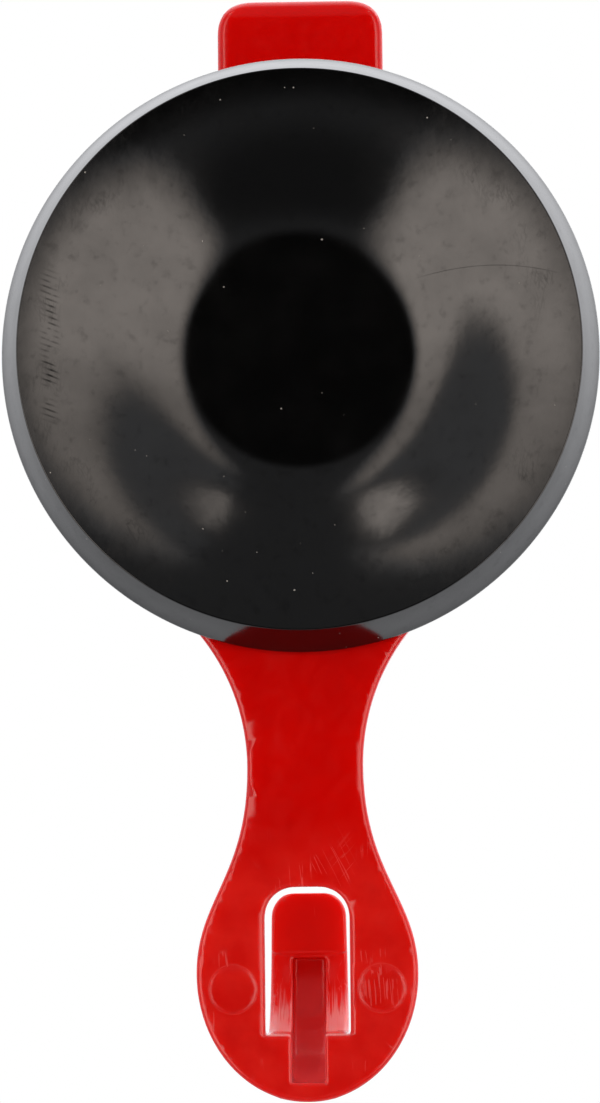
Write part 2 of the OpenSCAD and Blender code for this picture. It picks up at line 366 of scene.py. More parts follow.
def clean(obj):
    """Merges the points on the axis and turns every face outwards."""
    bm = bmesh.new()
    bm.from_mesh(obj.data)
    bmesh.ops.remove_doubles(bm, verts=bm.verts, dist=1e-7)
    bmesh.ops.dissolve_degenerate(bm, edges=bm.edges, dist=1e-7)
    bmesh.ops.recalc_face_normals(bm, faces=bm.faces)
    bm.to_mesh(obj.data)
    bm.free()


def crease(obj, degrees):
    """Shades smooth, but keeps an edge sharper than this angle crisp."""
    obj.data.shade_smooth()
    obj.data.set_sharp_from_angle(angle=math.radians(degrees))


def corner(before, at, after, r, n=4):
    """An arc of about radius r that replaces the corner at."""
    before, at, after = (np.array(p, float) for p in (before, at, after))
    a = at + (before - at) / np.linalg.norm(before - at) * r
    b = at + (after - at) / np.linalg.norm(after - at) * r
    t = np.linspace(0, 1, n + 1)[:, None]
    return (1 - t) ** 2 * a + 2 * t * (1 - t) * at + t * t * b


def softened(profile, r, n=4):
    """A closed profile with every corner rounded by about r."""
    profile = [np.array(p, float) for p in profile]
    count = len(profile)
    return joined(*(
        corner(profile[i - 1], profile[i], profile[(i + 1) % count], r, n) for i in range(count)
    ))


# ---- the cup ----

def bowl_face(start, end, offset, n):
    r = np.linspace(start, end, n + 1)
    return np.stack([r, bowl(r) + offset], 1)


def make_cup_bowl():
    """The bending part of the cup: the bowl's face, its back and the boss round the stem's flange."""
    profile = joined(
        [(0.001, BOWL_H)],
        bowl_face(BOWL_FLAT_R * 0.5, BOWL_FLAT_R, 0, 4),
        bowl_face(BOWL_FLAT_R, LIP_R - LAND, 0, 64)[1:],
        [(LIP_R - LAND, 0.05)],
        bowl_face(SKIRT_R - 1, BOSS_R + 0.8, CUP_WALL, 24),
        corner((BOSS_R, 8), (BOSS_R, BOSS_TOP), (8, BOSS_TOP), 0.4),
        [(0.001, BOSS_TOP)],
    )
    obj = turned("cup_bowl", profile, closed=False)
    crease(obj, 40)
    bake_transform(obj)
    return obj


def make_cup_rim():
    """The stiff rim: the lip's edge, the bevel and the ring that the housing presses on."""
    foot = (LIP_R, 0.0)
    heel = (CUP_R, RIM_H - 0.3)
    back = (CUP_R - 0.3, RIM_H)
    profile = joined(
        [(LIP_R - LAND, 0.0)],
        corner((LIP_R - LAND, 0), foot, heel, 0.1, 5),
        bezier(
            (LIP_R + 0.15, 0.4), (LIP_R + 0.8, 2.0), (CUP_R - 0.45, 3.9), (CUP_R, RIM_H - 0.8), 16
        ),
        corner(foot, heel, back, 0.2, 3),
        corner(heel, back, (SKIRT_R, RIM_H), 0.2, 3),
        [(SKIRT_R - 0.3, RIM_H), (SKIRT_R - 1, 3.2), (LIP_R - LAND, 0.06)],
    )
    obj = turned("cup_rim", profile, sides=256)
    crease(obj, 40)
    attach(obj, "housing")
    return obj


# ---- the housing ----

def plate_outline():
    """The neck and lobe seen square on."""
    waist, widest = np.array([NECK_HALF, NECK_Y]), np.array([LOBE_HALF, LOBE_Y])
    side = joined(
        arc(waist + [NECK_FILLET, 0], NECK_FILLET, NECK_FILLET, 125, 180),
        bezier(waist, waist - [0, 10.9], widest + [0, 7.5], widest)[1:],
        arc((0, LOBE_Y), LOBE_HALF, LOBE_Y - LOBE_END, 0, -90)[1:],
    )
    return joined(side, side[::-1][1:] * [-1, 1])


def hook_curve(up, out):
    """A quarter ellipse from the hook's root under the window to its bend, as (y, z)."""
    return arc((BEND_Y, PLATE_Z), up, out, 180, 90)


def hook_outline():
    """The hook seen square on: it narrows from the window's foot to a round tip."""
    r = 2.6
    foot = HOOK_FOOT_HALF
    return joined(
        arc((HOOK_TIP_HALF - r, HOOK_TOP - r), r, r, 0, 80, 10),
        arc((r - HOOK_TIP_HALF, HOOK_TOP - r), r, r, 100, 180, 10),
        [(-foot, WINDOW_FOOT), (-foot, -90), (foot, -90), (foot, WINDOW_FOOT)],
    )


def dome_field(grid):
    """The dome with its skirt, hollow underneath."""
    r = np.hypot(grid.x, grid.y)
    reach = np.hypot(r - DOME_C[0], grid.z - DOME_C[1]) - DOME_RADIUS
    solid = meet(reach, grid.z - CROWN_H, 1.2)
    solid = meet(solid, r - BODY_R, 0.8)
    solid = meet(solid, RIM_H - grid.z, 0.25)
    hollow = meet(reach + SHELL, grid.z - (CROWN_H - 2), 1.0)
    hollow = meet(hollow, r - SKIRT_R, 0.5)
    return solid, hollow


def make_housing():
    grid = Grid(BODY_LOW, BODY_HIGH, 0.25)
    dome, hollow = dome_field(grid)
    plate_top = PLATE_Z + PLATE_T
    near = np.hypot(np.abs(grid.x) - MARK_X, grid.y - MARK_Y) - MARK_R
    dip = 0.07 * (1 - ease((near + 0.3) / 0.3)) - 0.04 * np.exp(-((near / 0.18) ** 2))
    faces = np.maximum(PLATE_Z + dip - grid.z, grid.z - plate_top)
    plan = grid.front(plate_outline())
    plate = meet(plan, faces, 0.5)

    flank = dome_arc(0)[12]
    start = np.array([-flank[0], flank[1]])
    slope = (DOME_B - DOME_A) / DOME_CHORD * [-1, 1]
    spine_end = -48
    spine = joined(
        [(-CROWN_R, PLATE_Z + 1), (-CROWN_R, CROWN_H - 1)],
        bezier(start, start + 7 * slope, (spine_end + 12, plate_top), (spine_end, plate_top)),
        [(spine_end, PLATE_Z + 1)],
    )
    neck_spine = meet(grid.side(spine), np.abs(grid.x) - 2.5, 0.9)
    field = join(dome, join(plate, neck_spine, 1.5), 1.6)
    field = cut(field, hollow, 0.2)

    window = rounded_rectangle(WINDOW_HALF, WINDOW_FOOT, WINDOW_TOP, WINDOW_CORNER, False)
    field = cut(field, grid.front(window), 0.35)

    up, out = BEND_Y - WINDOW_FOOT, PLATE_T + HOOK_GAP
    front = PLATE_Z + out + HOOK_T
    band = joined(
        hook_curve(up, out + HOOK_STEP),
        [(BEND_Y, PLATE_Z + out), (HOOK_TOP, PLATE_Z + out + 0.2), (HOOK_TOP, front)],
        hook_curve(up + HOOK_T, out + HOOK_T)[::-1],
    )
    ridge = joined(
        [(HOOK_TOP - 1, front - 0.2)],
        hook_curve(BEND_Y - LOBE_END - 0.3, out + HOOK_T + SPINE_RISE)[::-1],
        hook_curve(up + 0.6, out + 0.6),
    )
    ridge = meet(grid.side(ridge), np.abs(grid.x) - SPINE_HALF, 0.9)
    hook = join(grid.side(band), ridge, 0.8)
    hook = meet(hook, grid.front(hook_outline()), 0.45)
    hook = meet(hook, plan, 0.8)
    hook = np.maximum(hook, PLATE_Z + 0.7 - grid.z)
    field = join(field, hook, 0.5)

    groove = joined(
        [(GROOVE_TOP, PLATE_Z - 2), (GROOVE_FOOT, PLATE_Z - 2)],
        [p for p in hook_curve(BEND_Y - GROOVE_FOOT, out + GROOVE_SKIN) if p[0] < GROOVE_TOP],
        [(GROOVE_TOP, PLATE_Z + out + GROOVE_SKIN)],
    )
    field = cut(field, meet(grid.side(groove), np.abs(grid.x) - GROOVE_HALF, 0.1), 0.18)

    r = np.hypot(grid.x, grid.y)
    seat = meet(np.abs(r - COIL_R - 1.5) - 0.7, grid.slab(CROWN_H - 4, CROWN_H - 1), 0.2)
    spoke = np.abs(np.sin(3 * np.arctan2(grid.y, grid.x))) * r / 3 - 0.6
    ribs = np.maximum(np.maximum(spoke, 9.8 - r), np.maximum(r - 21.4, CROWN_H - 5.7 - grid.z))
    ribs = np.maximum(ribs, dome + 0.5)
    field = join(join(field, seat, 0.3), ribs, 0.3)
    post = np.maximum(np.abs(grid.x) - STEM_POST_HALF - 0.25, np.abs(grid.y) - STEM_POST_T - 0.25)
    field = cut(field, post, 0.15)
    recess = rounded_rectangle(SLIP_HIGH[0] + 0.05, SLIP_LOW[1] - 0.05, SLIP_HIGH[1] + 0.05, 2.0)
    field = cut(field, meet(grid.front(recess), SLIP_LOW[2] - grid.z), 0.1)
    obj = skin("housing_moulding", grid, field, 0.01)
    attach(obj, "housing")
    return obj


# ---- the lever ----

def cam_curve():
    """The cam, an involute round the pin whose reach falls evenly as the lever opens, as (y, z)."""
    w = np.radians(np.arange(OPEN_ANGLE, -1, -2.5))
    h = CAM_H - CAM_RATE * w
    y = -h * np.sin(w) + CAM_RATE * np.cos(w)
    z = PIN_Z - h * np.cos(w) - CAM_RATE * np.sin(w)
    return np.stack([y, z], 1)


def crest(inset):
    """The lever's top from tip to pin, lowered by inset for the underside of its web."""
    return bezier(
        (LEVER_TOP, BELLY_Z + TIP_T - inset),
        (LEVER_TOP - 8, BELLY_Z + TIP_T + 0.5 - inset),
        (15, PIN_Z + EAR_R - inset),
        (0, PIN_Z + EAR_R - inset),
    )


def make_lever():
    grid = Grid(LEVER_LOW, LEVER_HIGH, 0.2)
    top = crest(0)
    side = joined(
        cam_curve(),
        arc((LEVER_TOP - TIP_R, BELLY_Z + TIP_R), TIP_R, TIP_R, -90, 0, 12),
        corner((LEVER_TOP, BELLY_Z + TIP_R), top[0], top[4], 1.0),
        top[4:],
        arc((0, PIN_Z), EAR_R, EAR_R, 90, HEEL_WRAP, 2)[1:],
    )
    plan = rounded_rectangle(LEVER_HALF, -20, LEVER_TOP, LEVER_CORNER, False)
    solid = meet(grid.side(side), grid.front(plan), LEVER_EDGE_R)
    heel = 80 * np.array([math.cos(math.radians(HEEL_WRAP)), math.sin(math.radians(HEEL_WRAP))])
    inside = joined(
        [heel + [0, PIN_Z], (-80, 0), (LEVER_TOP, 0)],
        crest(LEVER_WEB),
        arc((0, PIN_Z), EAR_R - LEVER_WEB, EAR_R - LEVER_WEB, 90, HEEL_WRAP, 2),
    )
    room_half = LEVER_HALF - LEVER_WALL
    room = rounded_rectangle(room_half, -40, LEVER_TOP - PAD_L, LEVER_CORNER - LEVER_WALL, False)
    hollow = meet(grid.side(inside), grid.front(room), 1.0)
    field = cut(solid, hollow, 0.3)
    field = cut(field, grid.rod(0, PIN_Z, PIN_R + 0.05), 0.15)
    obj = skin("lever_moulding", grid, field, 0.01)
    # The polished lip would mirror the thin tip as two red smears.
    obj.visible_glossy = False
    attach(obj, "lever")
    return obj


# ---- the stem, spring and small hardware ----

STEM_POST_HALF = 5.35
STEM_POST_T = 3.0
FLANGE_R = STEM_HIGH[1]
FLANGE_T = 1.8


def make_stem():
    grid = Grid(STEM_LOW, STEM_HIGH, 0.2)
    r = np.hypot(grid.x, grid.y)
    flange = meet(r - FLANGE_R, grid.slab(STEM_LOW[2], STEM_LOW[2] + FLANGE_T), 0.3)
    post = join(
        np.maximum(np.abs(grid.y) - STEM_POST_T, grid.slab(STEM_LOW[2], PIN_Z)),
        grid.rod(0, PIN_Z, STEM_POST_T),
    )
    post = meet(post, np.abs(grid.x) - STEM_POST_HALF, 0.35)
    field = join(flange, post, 0.4)
    field = cut(field, grid.rod(0, PIN_Z, PIN_R), 0.1)
    obj = skin("stem_moulding", grid, field, 0.01)
    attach(obj, "stem")
    return obj


def make_slip_plate():
    grid = Grid(SLIP_LOW, SLIP_HIGH, 0.08)
    plan = rounded_rectangle(SLIP_HIGH[0], SLIP_LOW[1], SLIP_HIGH[1], 2.0)
    field = meet(grid.front(plan), grid.slab(SLIP_LOW[2], SLIP_HIGH[2]), 0.12)
    hole = rounded_rectangle(STEM_POST_HALF + 0.3, -STEM_POST_T - 0.3, STEM_POST_T + 0.3, 0.3)
    field = cut(field, grid.front(hole), 0.1)
    obj = skin("slip_plate_pressing", grid, field, 0.02)
    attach(obj, "housing")
    return obj


def make_pin():
    """The pin: a domed head at one side and a bevelled end at the other."""
    left, right = PIN_LOW[0], PIN_HIGH[0]
    head_r = PIN_HIGH[1]
    shoulder = -(LEVER_HALF + 0.1)
    profile = joined(
        [(0.001, left)],
        arc((0, left + 0.9), head_r, 0.9, -90, 0, 12)[1:-1],
        corner((head_r, left + 0.5), (head_r, shoulder), (PIN_R, shoulder), 0.1),
        [(PIN_R, shoulder)],
        [(PIN_R, right - 0.35)],
        [(PIN_R - 0.3, right)],
        [(0.001, right)],
    )
    profile[:, 1] = np.clip(profile[:, 1], left, right)
    obj = turned("pin_turned", profile, 64, False, (0, 0, PIN_Z), True)
    crease(obj, 35)
    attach(obj, "stem")
    return obj


def make_push_nut():
    low, high = NUT_LOW[0], NUT_HIGH[0]
    profile = [(PIN_R, high - 0.3), (2.5, low), (2.5, low + 0.3), (PIN_R, high)]
    obj = turned("push_nut_pressing", softened(profile, 0.08, 2), 64, True, (0, 0, PIN_Z), True)
    crease(obj, 35)
    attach(obj, "stem")
    return obj


def make_ring(name, node, axis, inner_r):
    """A plain washer or spacer with softened edges, in the space of its CAD node."""
    low, high = span(node)
    outer_r = high[1]
    along_x = axis == 0
    centre = (0, 0, PIN_Z) if along_x else (0, 0, 0)
    ends = (low[axis], high[axis])
    profile = [(inner_r, ends[0]), (outer_r, ends[0]), (outer_r, ends[1]), (inner_r, ends[1])]
    obj = turned(name, softened(profile, 0.1, 3), 96, True, centre, along_x)
    crease(obj, 35)
    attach(obj, "stem")
    return obj


def make_spring():
    """The wire, wound three and a half turns and closed up at both ends."""
    turns, rings, sides = 3.5, 252, 12
    low, high = SPRING_LOW[2] + WIRE_R, SPRING_HIGH[2] - WIRE_R
    points, faces = [], []
    for i in range(rings + 1):
        t = i / rings
        w = 2 * math.pi * turns * t
        z = low + (high - low) * float(ease(t))
        for j in range(sides):
            a = 2 * math.pi * j / sides
            r = COIL_R + WIRE_R * math.cos(a)
            points.append((r * math.cos(w), r * math.sin(w), z + WIRE_R * math.sin(a)))
    for i in range(rings):
        for j in range(sides):
            k = (j + 1) % sides
            faces.append([i * sides + j, (i + 1) * sides + j, (i + 1) * sides + k, i * sides + k])
    faces.append(list(range(sides)))
    faces.append([rings * sides + j for j in range(sides)][::-1])
    obj = make_object("return_spring_wire", points, faces)
    clean(obj)
    crease(obj, 50)
    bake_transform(obj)
    return obj


# ---- materials ----

NOISE = "ShaderNodeTexNoise"
MATH = "ShaderNodeMath"
RANGE = "ShaderNodeMapRange"
MIX = "ShaderNodeMix"


def linear(code):
    """An sRGB hex colour as linear RGBA."""
    parts = [int(code[i:i + 2], 16) / 255 for i in (1, 3, 5)]
    return tuple(c / 12.92 if c <= 0.04045 else ((c + 0.055) / 1.055) ** 2.4 for c in parts) + (1.0,)


def add(tree, kind, inputs=None, **settings):
    """Adds a node with its settings. A node given as an input is linked by its live output."""
    node = tree.nodes.new(kind)
    for name, value in settings.items():
        setattr(node, name, value)
    for key, value in (inputs or {}).items():
        if isinstance(key, str):
            socket = next(s for s in node.inputs if s.enabled and s.name == key)
        else:
            socket = node.inputs[key]
        if isinstance(value, bpy.types.Node):
            value = next(s for s in value.outputs if s.enabled)
        if isinstance(value, bpy.types.NodeSocket):
            tree.links.new(value, socket)
        else:
            socket.default_value = value
    return node


def new_material(name):
    material = bpy.data.materials.new(name)
    material.use_nodes = True
    material.node_tree.nodes.clear()
    return material, material.node_tree


def surface_place(tree):
    """The row frame's coordinates in millimetres, as a vector and as its three axes."""
    metres = add(tree, "ShaderNodeTexCoord").outputs["Object"]
    place = add(tree, "ShaderNodeVectorMath", {0: metres, 1: (1000,) * 3}, operation="MULTIPLY")
    axes = add(tree, "ShaderNodeSeparateXYZ", {0: place})
    return place, axes.outputs[0], axes.outputs[1], axes.outputs[2]


def ramp(value, low, high, to_low=0.0, to_high=1.0):
    """Inputs of a range from low to high, mapped to another range."""
    return {
        "Value": value, "From Min": low, "From Max": high, "To Min": to_low, "To Max": to_high,
    }


def hairlines(tree, place, spacing, length, width, turn, patch, cover):
    """Fine scratches: 1 on a scratch. They come in patches, which leave out a share of the face."""
    along = add(tree, "ShaderNodeMapping", {
        "Vector": place, "Rotation": (0, math.radians(turn), 0), "Scale": (spacing, spacing, length),
    }, vector_type="TEXTURE")
    lines = add(tree, NOISE, {"Vector": along, "Scale": 1, "Detail": 1.5})
    off = add(tree, MATH, {0: lines, 1: 0.5}, operation="SUBTRACT")
    off = add(tree, MATH, {0: off}, operation="ABSOLUTE")
    thin = add(tree, RANGE, ramp(off, width, width * 0.2), interpolation_type="SMOOTHSTEP")
    patches = add(tree, NOISE, {"Vector": place, "Scale": 1 / patch, "Detail": 2})
    shown = add(tree, RANGE, ramp(patches, cover, cover + 0.07), interpolation_type="SMOOTHSTEP")
    return add(tree, MATH, {0: thin, 1: shown}, operation="MULTIPLY")


def dust(tree, place, spacing, r, share):
    """Dust specks of radius r in a share of the cells of a loose grid: 1 on a speck."""
    cells = add(tree, "ShaderNodeTexVoronoi", {"Vector": place, "Scale": 1 / spacing})
    near = add(tree, RANGE, ramp(cells.outputs["Distance"], r / spacing, 0.5 * r / spacing))
    pick = add(tree, "ShaderNodeSeparateColor", {0: cells.outputs["Color"]})
    chosen = add(tree, MATH, {0: pick, 1: share}, operation="LESS_THAN")
    return add(tree, MATH, {0: near, 1: chosen}, operation="MULTIPLY")


def window_of(tree, value, low, high, soft):
    """1 where value lies between low and high, with soft ends."""
    rise = add(tree, RANGE, ramp(value, low - soft, low + soft), interpolation_type="SMOOTHSTEP")
    fall = add(tree, RANGE, ramp(value, high + soft, high - soft), interpolation_type="SMOOTHSTEP")
    return add(tree, MATH, {0: rise, 1: fall}, operation="MULTIPLY")


def where_all(tree, *values):
    """Marks that count only where all of them are."""
    total = values[0]
    for value in values[1:]:
        total = add(tree, MATH, {0: total, 1: value}, operation="MULTIPLY")
    return total


def where_any(tree, *values):
    """Marks that count where any of them is, at the strongest one's strength."""
    total = values[0]
    for value in values[1:]:
        total = add(tree, MATH, {0: total, 1: value}, operation="MAXIMUM")
    return total


def distance_to(tree, a, b, a0, b0):
    """Distance in the plane of a and b from the point a0, b0."""
    pair = add(tree, "ShaderNodeCombineXYZ", {0: a, 1: b})
    return add(tree, "ShaderNodeVectorMath", {0: pair, 1: (a0, b0, 0)}, operation="DISTANCE").outputs["Value"]


def finish_surface(tree, inputs):
    shader = add(tree, "ShaderNodeBsdfPrincipled", inputs)
    add(tree, "ShaderNodeOutputMaterial", {"Surface": shader})


def red_abs():
    """Injection-moulded ABS, full gloss: an even deep red with soft edges where light comes through.

    The hook plate is handled most, so it is hazier there and has fine scratches. The hook's inner
    face keeps the upright tool marks of its core pin, rougher at its foot, where a pale pink
    painted reflection is laid over them. The hook's inner side is painted brighter as painted
    light, and its groove is painted paler towards the foot as a painted reflection.
    """
    material, tree = new_material("red_abs_moulded")
    place, across, off, up = surface_place(tree)
    facing = add(tree, "ShaderNodeSeparateXYZ", {0: add(tree, "ShaderNodeTexCoord").outputs["Normal"]})
    to_wall = add(tree, RANGE, ramp(facing.outputs[1], 0.05, 0.3), interpolation_type="SMOOTHSTEP")
    worn = add(tree, RANGE, ramp(up, -45, -55), interpolation_type="SMOOTHSTEP")

    cloud = add(tree, NOISE, {"Vector": place, "Scale": 0.15, "Detail": 3})
    shade = add(tree, RANGE, ramp(cloud, 0.35, 0.65), interpolation_type="SMOOTHSTEP")
    colour = add(tree, MIX, {
        "Factor": shade, "A": linear("#c40300"), "B": linear("#ca0400"),
    }, data_type="RGBA")
    film = add(tree, NOISE, {"Vector": place, "Scale": 0.35, "Detail": 4})
    film = add(tree, RANGE, ramp(film, 0.3, 0.7, 0.25, 0.75), interpolation_type="SMOOTHSTEP")
    haze = where_all(tree, worn, film)
    colour = add(tree, MIX, {"Factor": haze, "A": colour, "B": linear("#da2119")}, data_type="RGBA")

    # Scratches about 0.05 mm wide, in patches 4 to 8 mm across, in three directions.
    scratches = where_any(
        tree,
        hairlines(tree, place, 0.8, 14, 0.022, 28, 6, 0.6),
        hairlines(tree, place, 0.9, 12, 0.02, -40, 7, 0.66),
        hairlines(tree, place, 0.7, 12, 0.022, 4, 5, 0.58),
    )
    groove = where_all(
        tree,
        window_of(tree, across, -GROOVE_HALF - 0.1, GROOVE_HALF + 0.1, 0.05),
        window_of(tree, up, GROOVE_FOOT, GROOVE_TOP, 0.1),
        add(tree, MATH, {0: off, 1: -PLATE_Z - 0.1}, operation="LESS_THAN"),
    )
    flat = add(tree, MATH, {0: 1.0, 1: groove}, operation="SUBTRACT")
    scratches = where_all(tree, scratches, worn, flat)

    # Painted light: the hook's inner side is painted brighter, where its recess would otherwise lie in shade,
    # and its groove is painted paler pink towards the foot as a painted reflection.
    hook_side_painted_light = where_all(
        tree,
        window_of(tree, across, -WINDOW_HALF, WINDOW_HALF, 0.1),
        window_of(tree, up, GROOVE_FOOT, WINDOW_TOP, 0.2),
        add(tree, MATH, {0: off, 1: -PLATE_Z - 0.6}, operation="LESS_THAN"),
        to_wall,
    )
    colour = add(tree, MIX, {
        "Factor": where_all(tree, hook_side_painted_light, 0.7), "A": colour, "B": linear("#ea1a12"),
    }, data_type="RGBA")
    # Painted reflection: the groove turns paler pink towards its foot.
    colour = add(tree, MIX, {
        "Factor": where_all(tree, groove, add(tree, RANGE, ramp(up, -62, -70, 0.0, 0.5))),
        "A": colour, "B": linear("#f07478"),
    }, data_type="RGBA")

    # The ejector pins leave two round marks, one of them scored by upright lines.
    ring = add(tree, MATH, {0: across}, operation="ABSOLUTE")
    ring = distance_to(tree, ring, up, MARK_X, MARK_Y)
    scored = where_all(
        tree,
        hairlines(tree, place, 0.45, 9, 0.04, 4, 3, 0.45),
        add(tree, RANGE, ramp(ring, MARK_R, MARK_R - 0.3)),
        add(tree, RANGE, ramp(across, -5, -6)),
    )
    ring = where_all(tree, window_of(tree, ring, MARK_R - 0.04, MARK_R + 0.04, 0.06), to_wall)
    marks = where_any(tree, scratches, scored, where_all(tree, ring, 0.5))
    colour = add(tree, MIX, {
        "Factor": where_all(tree, marks, 0.14), "A": colour, "B": linear("#f4837a"),
    }, data_type="RGBA")

    # Tool marks 0.15 mm apart on the hook's inner face, at both sides of its groove.
    strip = add(tree, MATH, {0: across}, operation="ABSOLUTE")
    inner = where_all(
        tree,
        window_of(tree, across, -HOOK_FOOT_HALF - 0.2, HOOK_FOOT_HALF + 0.2, 0.1),
        add(tree, MATH, {0: strip, 1: GROOVE_HALF + 0.1}, operation="GREATER_THAN"),
        window_of(tree, up, WINDOW_FOOT - 0.1, BEND_Y - 1.5, 0.2),
        window_of(tree, off, -16.5, -PLATE_Z - 0.2, 0.1),
        to_wall,
    )
    upright = add(tree, "ShaderNodeMapping", {
        "Vector": place, "Scale": (0.15, 5, 5),
    }, vector_type="TEXTURE")
    streak = add(tree, NOISE, {"Vector": upright, "Scale": 1, "Detail": 3})
    reach = add(tree, MATH, {
        0: up, 1: add(tree, RANGE, ramp(streak, 0.3, 0.7, -2.2, 2.2)),
    }, operation="ADD")
    frost_and_painted_sheen = add(tree, RANGE, ramp(reach, -63.6, -66.4), interpolation_type="SMOOTHSTEP")
    frost_and_painted_sheen = where_all(tree, frost_and_painted_sheen, inner, add(tree, RANGE, ramp(streak, 0.3, 0.65, 0.6, 1)))
    # The tool marks' foot is rougher, and its pale pink colour is a painted reflection laid over the real
    # marks.
    colour = add(tree, MIX, {
        "Factor": where_all(tree, frost_and_painted_sheen, 0.78), "A": colour, "B": linear("#e79c9a"),
    }, data_type="RGBA")

    rough = add(tree, RANGE, ramp(
        add(tree, NOISE, {"Vector": place, "Scale": 0.8, "Detail": 3}), 0.3, 0.7, 0.12, 0.19,
    ))
    rough = add(tree, MATH, {0: rough, 1: where_all(tree, marks, 0.25)}, operation="ADD")
    rough = add(tree, MATH, {0: rough, 1: where_all(tree, frost_and_painted_sheen, 0.25)}, operation="ADD")
    grain = add(tree, NOISE, {"Vector": place, "Scale": 0.5, "Detail": 3})
    relief = add(tree, MATH, {0: grain, 1: where_all(tree, marks, -0.35)}, operation="ADD")
    relief = add(tree, MATH, {0: relief, 1: where_all(tree, inner, streak, 0.8)}, operation="ADD")
    bump = add(tree, "ShaderNodeBump", {
        "Height": relief, "Strength": 0.25, "Distance": 0.04 * MM,
    })
    finish_surface(tree, {
        "Base Color": colour, "Roughness": rough, "IOR": 1.53, "Normal": bump,
        "Specular IOR Level": 0.36, "Subsurface Weight": 0.6,
        "Subsurface Radius": (1.0, 0.05, 0.03), "Subsurface Scale": 2.5 * MM,
    })
    return material


def cup_pvc():
    """Plasticised PVC from a polished mould: black and mirror-like, but it holds dust and scuffs."""
    material, tree = new_material("cup_pvc_glossy")
    place, across, _, up = surface_place(tree)
    far = distance_to(tree, across, up, 0, 0)
    specks = where_any(
        tree, dust(tree, place, 3.4, 0.12, 0.45), dust(tree, place, 1.9, 0.09, 0.2),
        dust(tree, place, 1.1, 0.06, 0.12),
    )

    # Short scuffs 0.4 mm apart where the lip was picked up with a nail, and one long arc.
    slant = add(tree, "ShaderNodeMapping", {
        "Vector": place, "Rotation": (0, math.radians(-20), 0),
    }, vector_type="TEXTURE")
    strokes = add(tree, "ShaderNodeTexWave", {
        "Vector": slant, "Scale": 0.314 / 0.55, "Distortion": 0.5, "Detail": 1, "Detail Scale": 1,
    }, bands_direction="Z")
    nail = where_all(
        tree,
        add(tree, RANGE, ramp(strokes.outputs["Fac"], 0.55, 0.95)),
        add(tree, RANGE, ramp(
            add(tree, NOISE, {"Vector": place, "Scale": 0.7, "Detail": 2}), 0.38, 0.6,
        )),
        window_of(tree, across, 24.2, 25.4, 0.7),
        window_of(tree, up, -6.5, 7.5, 1.5),
    )
    arc_line = where_all(
        tree,
        window_of(tree, distance_to(tree, across, up, -18, -18), 26.27, 26.33, 0.06),
        window_of(tree, across, -25, -12, 1.5),
        add(tree, MATH, {0: up, 1: 0.0}, operation="GREATER_THAN"),
    )
    edge_wear = where_all(
        tree,
        where_any(
            tree, hairlines(tree, place, 0.5, 5, 0.04, -8, 4, 0.5),
            hairlines(tree, place, 0.5, 4, 0.04, 30, 4, 0.54),
        ),
        window_of(tree, far, 23.5, 28, 1.0),
    )
    scuffs = where_any(tree, nail, where_all(tree, arc_line, 0.7), where_all(tree, edge_wear, 0.2))

    smear = add(tree, NOISE, {"Vector": place, "Scale": 0.22, "Detail": 5, "Roughness": 0.6})
    blotch = add(tree, NOISE, {"Vector": place, "Scale": 0.9, "Detail": 3, "Roughness": 0.6})
    colour = add(tree, MIX, {
        "Factor": add(tree, RANGE, ramp(smear, 0.4, 0.7)),
        "A": linear("#040404"), "B": linear("#060606"),
    }, data_type="RGBA")
    colour = add(tree, MIX, {
        "Factor": where_all(tree, specks, 0.8), "A": colour, "B": linear("#a5a19a"),
    }, data_type="RGBA")
    rough = add(tree, RANGE, ramp(smear, 0.35, 0.7, 0.1, 0.16))
    rough = add(tree, MATH, {0: rough, 1: where_all(tree, scuffs, 0.3)}, operation="ADD")
    rough = add(tree, MATH, {0: rough, 1: where_all(tree, specks, 0.4)}, operation="ADD")
    shine = add(tree, RANGE, ramp(smear, 0.35, 0.65, 0.52, 0.44))
    shine = add(tree, MATH, {
        0: shine, 1: add(tree, RANGE, ramp(blotch, 0.56, 0.72, 0, 0.1)),
    }, operation="SUBTRACT")
    shine = add(tree, MATH, {0: shine, 1: where_all(tree, scuffs, 0.3)}, operation="SUBTRACT")
    relief = add(tree, MATH, {
        0: add(tree, NOISE, {"Vector": place, "Scale": 0.35, "Detail": 3}), 1: specks,
    }, operation="ADD")
    bump = add(tree, "ShaderNodeBump", {
        "Height": relief, "Strength": 0.25, "Distance": 0.05 * MM,
    })
    finish_surface(tree, {
        "Base Color": colour, "Roughness": rough, "IOR": 1.52, "Specular IOR Level": shine,
        "Normal": bump,
    })
    return material


def metal(name, code, grain_mm, low, high, grain_run=(1, 1, 1)):
    """A metal whose fine grain shows as streaks of roughness, longest along grain_run."""
    material, tree = new_material(name)
    place = surface_place(tree)[0]
    run = add(tree, "ShaderNodeMapping", {
        "Vector": place, "Scale": tuple(grain_mm * k for k in grain_run),
    }, vector_type="TEXTURE")
    grain = add(tree, NOISE, {"Vector": run, "Scale": 1, "Detail": 3})
    tone = add(tree, RANGE, ramp(
        add(tree, NOISE, {"Vector": place, "Scale": 0.7}), 0.35, 0.65,
    ))
    dark = tuple(c * 0.8 for c in linear(code)[:3]) + (1.0,)
    colour = add(tree, MIX, {"Factor": tone, "A": linear(code), "B": dark}, data_type="RGBA")
    bump = add(tree, "ShaderNodeBump", {"Height": grain, "Strength": 0.2, "Distance": 0.01 * MM})
    finish_surface(tree, {
        "Base Color": colour, "Metallic": 1.0, "Normal": bump,
        "Roughness": add(tree, RANGE, ramp(grain, 0.3, 0.7, low, high)),
    })
    return material


